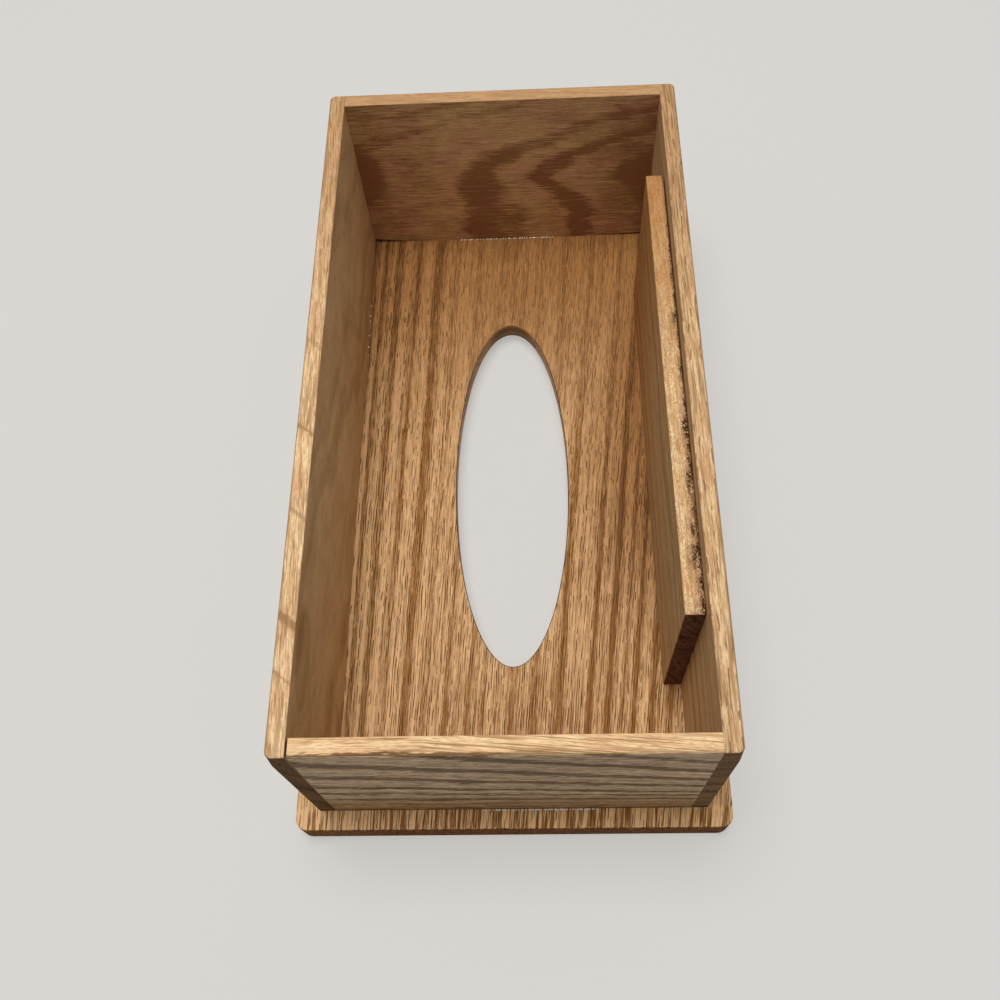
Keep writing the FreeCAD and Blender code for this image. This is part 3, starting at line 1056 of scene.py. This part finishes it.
def spacer_top(graph, place, along, depth):
    """The board's pale planed top edge, speckled all over and stained along its right."""
    top = rim_wood(graph, slide(graph, place, TOP_SLOPE), SPACER_TOP_TINT, TOP_STREAKS, without_sheen=SPACER_TOP_WITHOUT_SHEEN)
    speckle = graph.spots(place, *SPECKLES)
    mottle = graph.spots(place, *MOTTLE)
    speckle = graph.times(graph.larger(speckle, graph.times(mottle, MOTTLE_SHARE)), SPECKLE_SHARE)
    top = graph.mix(speckle, top, colour(SPACER_TOP_TINT[2]))
    return add_stains(graph, place, top, graph.minus(along, SPACER_FRONT), graph.minus(SPACER_RIGHT, depth))


def spacer_oak():
    """A thin board: brown faces, a pale planed top edge with stains, and dark sawn ends."""
    material, graph, shader = new_material("spacer oak")
    place = wood_place(graph, (Z, Y, X))
    across, along, depth = graph.axes(place)
    wander = shifted_noise(graph, place, *SPACER_WANDER)
    fray = shifted_noise(graph, place, *SPACER_FRAY)
    field = graph.add(across, graph.times(depth, SPACER_DEPTH_LEAN), wander, fray)
    rings = graph.times(loose_rings(graph, field, *SPACER_RINGS), SPACER_RING_SHARE)
    grain = oak_grain(graph, place, graph.add(rings, graph.ramp(along, *SPACER_BACK_DARKER)))
    towards_back = graph.ramp(along, *SPACER_BACK_FROM)
    faces = graph.mix(towards_back, tint(graph, grain, SPACER_TINT), tint(graph, grain, SPACER_BACK_TINT))
    base = graph.mix(facing(graph, Y), faces, spacer_end(graph, grain, across, depth))
    base = graph.mix(facing(graph, Z, 1, *TOP_UP), base, spacer_top(graph, place, along, depth))
    varnish(graph, shader, base, grain, WALL_ROUGHNESS, SPACER_RELIEF, SPACER_SHINE)
    return material


def dress(node, material):
    """Puts one material on a board."""
    slots = NODES[node].data.materials
    slots.clear()
    slots.append(material)


# --- dried glue ---
# runs squeezed out along the joints at the panel: start and end in mm, how many beads, bead radius in mm
GLUE_RUNS = {
    "glue_front": ((-10.7, -141.3), (31.6, -141.3), 36, 0.42),
    "glue_back": ((-23.4, 134.4), (21.2, 134.4), 34, 0.4),
    "glue_left": ((-66.4, 97.0), (-66.4, 67.0), 6, 0.45),
}
BEAD_STRAY = 0.3             # of the distance between two beads
BEAD_SIZES = (0.55, 1.0)     # of the run's radius
BEAD_LENGTHS = (1.0, 1.9)    # along the run, of the bead's size
BEAD_FLATNESS = 0.7
BEAD_LIFT = 0.3              # of the bead's size, its middle above the panel
BEAD_ROUNDNESS = 2           # subdivisions of its sphere
GLUE_SEED = 7


def glue_material():
    material, graph, shader = new_material("dried glue")
    graph.join(colour(GLUE), shader.inputs["Base Color"])
    graph.join(GLUE_ROUGHNESS, shader.inputs["Roughness"])
    shader.inputs["Specular IOR Level"].default_value = VARNISH_SHINE
    return material


def make_glue(name, start, end, count, radius, material):
    """A row of small uneven beads, pressed flat into the corner between a wall and the panel."""
    mesh = bmesh.new()
    run_axis = X if start[Y] == end[Y] else Y
    for step in range(count):
        share = (step + random.uniform(-BEAD_STRAY, BEAD_STRAY)) / (count - 1)
        size = radius * random.uniform(*BEAD_SIZES)
        spot = [low + (high - low) * share for low, high in zip(start, end)]
        place = Matrix.Translation(Vector((*spot, PANEL_TOP + size * BEAD_LIFT)) / TO_MM)
        lengths = [size, size, size * BEAD_FLATNESS, 1.0]
        lengths[run_axis] *= random.uniform(*BEAD_LENGTHS)
        bead = place @ Matrix.Diagonal(lengths)
        bmesh.ops.create_icosphere(mesh, subdivisions=BEAD_ROUNDNESS, radius=1 / TO_MM, matrix=bead)
    data = bpy.data.meshes.new(name)
    mesh.to_mesh(data)
    mesh.free()
    data.shade_smooth()
    data.materials.append(material)
    beads = bpy.data.objects.new(name, data)
    bpy.context.collection.objects.link(beads)
    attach(beads, "cover")


def pale_floor():
    """A matt floor that the camera sees at about its own colour, and that keeps the shadow."""
    material, graph, shader = new_material("pale floor")
    shader.inputs["Base Color"].default_value = colour(FLOOR_COLOUR)
    shader.inputs["Roughness"].default_value = FLOOR_ROUGHNESS
    shader.inputs["Specular IOR Level"].default_value = FLOOR_SHINE
    glow = graph.put("Emission")
    glow.inputs["Color"].default_value = colour(FLOOR_GLOW)
    seen = graph.times(graph.put("LightPath").outputs["Is Camera Ray"], FLOOR_GLOW_SHARE)
    blend = graph.put("MixShader")
    graph.join(seen, blend.inputs[0])
    graph.join(shader.outputs[0], blend.inputs[1])
    graph.join(glow.outputs[0], blend.inputs[2])
    graph.join(blend.outputs[0], graph.tree.nodes["Material Output"].inputs["Surface"])
    return material


def make_floor():
    mesh = bpy.data.meshes.new("floor")
    shape = bmesh.new()
    bmesh.ops.create_grid(shape, x_segments=1, y_segments=1, size=FLOOR_SIZE / 2)
    shape.to_mesh(mesh)
    shape.free()
    mesh.materials.append(pale_floor())
    floor = bpy.data.objects.new("floor", mesh)
    floor.location.z = -FLOOR_GAP
    bpy.context.scene.collection.objects.link(floor)


def make_ceiling_light():
    lamp = bpy.data.lights.new("ceiling light", "AREA")
    lamp.shape = "DISK"
    lamp.size = KEY_SIZE
    lamp.energy = KEY_POWER
    key = bpy.data.objects.new("ceiling light", lamp)
    bpy.context.scene.collection.objects.link(key)
    key.location = KEY_PLACE
    aim = Vector(KEY_AIM) - Vector(KEY_PLACE)
    key.rotation_euler = aim.to_track_quat("-Z", "Y").to_euler()


def make_room():
    """Even light from all round. The camera sees a plain backdrop instead of it."""
    world = bpy.data.worlds.new("soft room")
    world.use_nodes = True
    graph = Graph(world.node_tree)
    sky = world.node_tree.nodes["Background"]
    sky.inputs["Color"].default_value = colour(SKY_COLOUR)
    sky.inputs["Strength"].default_value = SKY_STRENGTH
    seen = graph.put("Background")
    seen.inputs["Color"].default_value = colour(BACKDROP)
    blend = graph.put("MixShader")
    graph.join(graph.put("LightPath").outputs["Is Camera Ray"], blend.inputs[0])
    graph.join(sky.outputs[0], blend.inputs[1])
    graph.join(seen.outputs[0], blend.inputs[2])
    graph.join(blend.outputs[0], world.node_tree.nodes["World Output"].inputs["Surface"])
    bpy.context.scene.world = world


def make_camera():
    data = bpy.data.cameras.new("camera")
    data.lens = CAMERA_LENS
    data.sensor_width = SENSOR_WIDTH
    camera = bpy.data.objects.new("camera", data)
    bpy.context.scene.collection.objects.link(camera)
    aim = Vector(CAMERA_AIM) - Vector(CAMERA_PLACE)
    turn = aim.to_track_quat("-Z", "Y").to_matrix().to_4x4() @ Matrix.Rotation(CAMERA_ROLL, 4, "Z")
    camera.matrix_world = Matrix.Translation(CAMERA_PLACE) @ turn
    bpy.context.scene.camera = camera


bpy.context.scene.view_settings.view_transform = "Standard"
make_camera()
make_floor()
make_ceiling_light()
make_room()
dress("top_panel", panel_oak())
dress("left_side", left_side_oak())
dress("right_side", right_side_oak())
dress("front_end", front_oak())
dress("back_end", back_oak())
dress("spacer_board", spacer_oak())
random.seed(GLUE_SEED)
dried_glue = glue_material()
for name, (start, end, count, radius) in GLUE_RUNS.items():
    make_glue(name, start, end, count, radius, dried_glue)
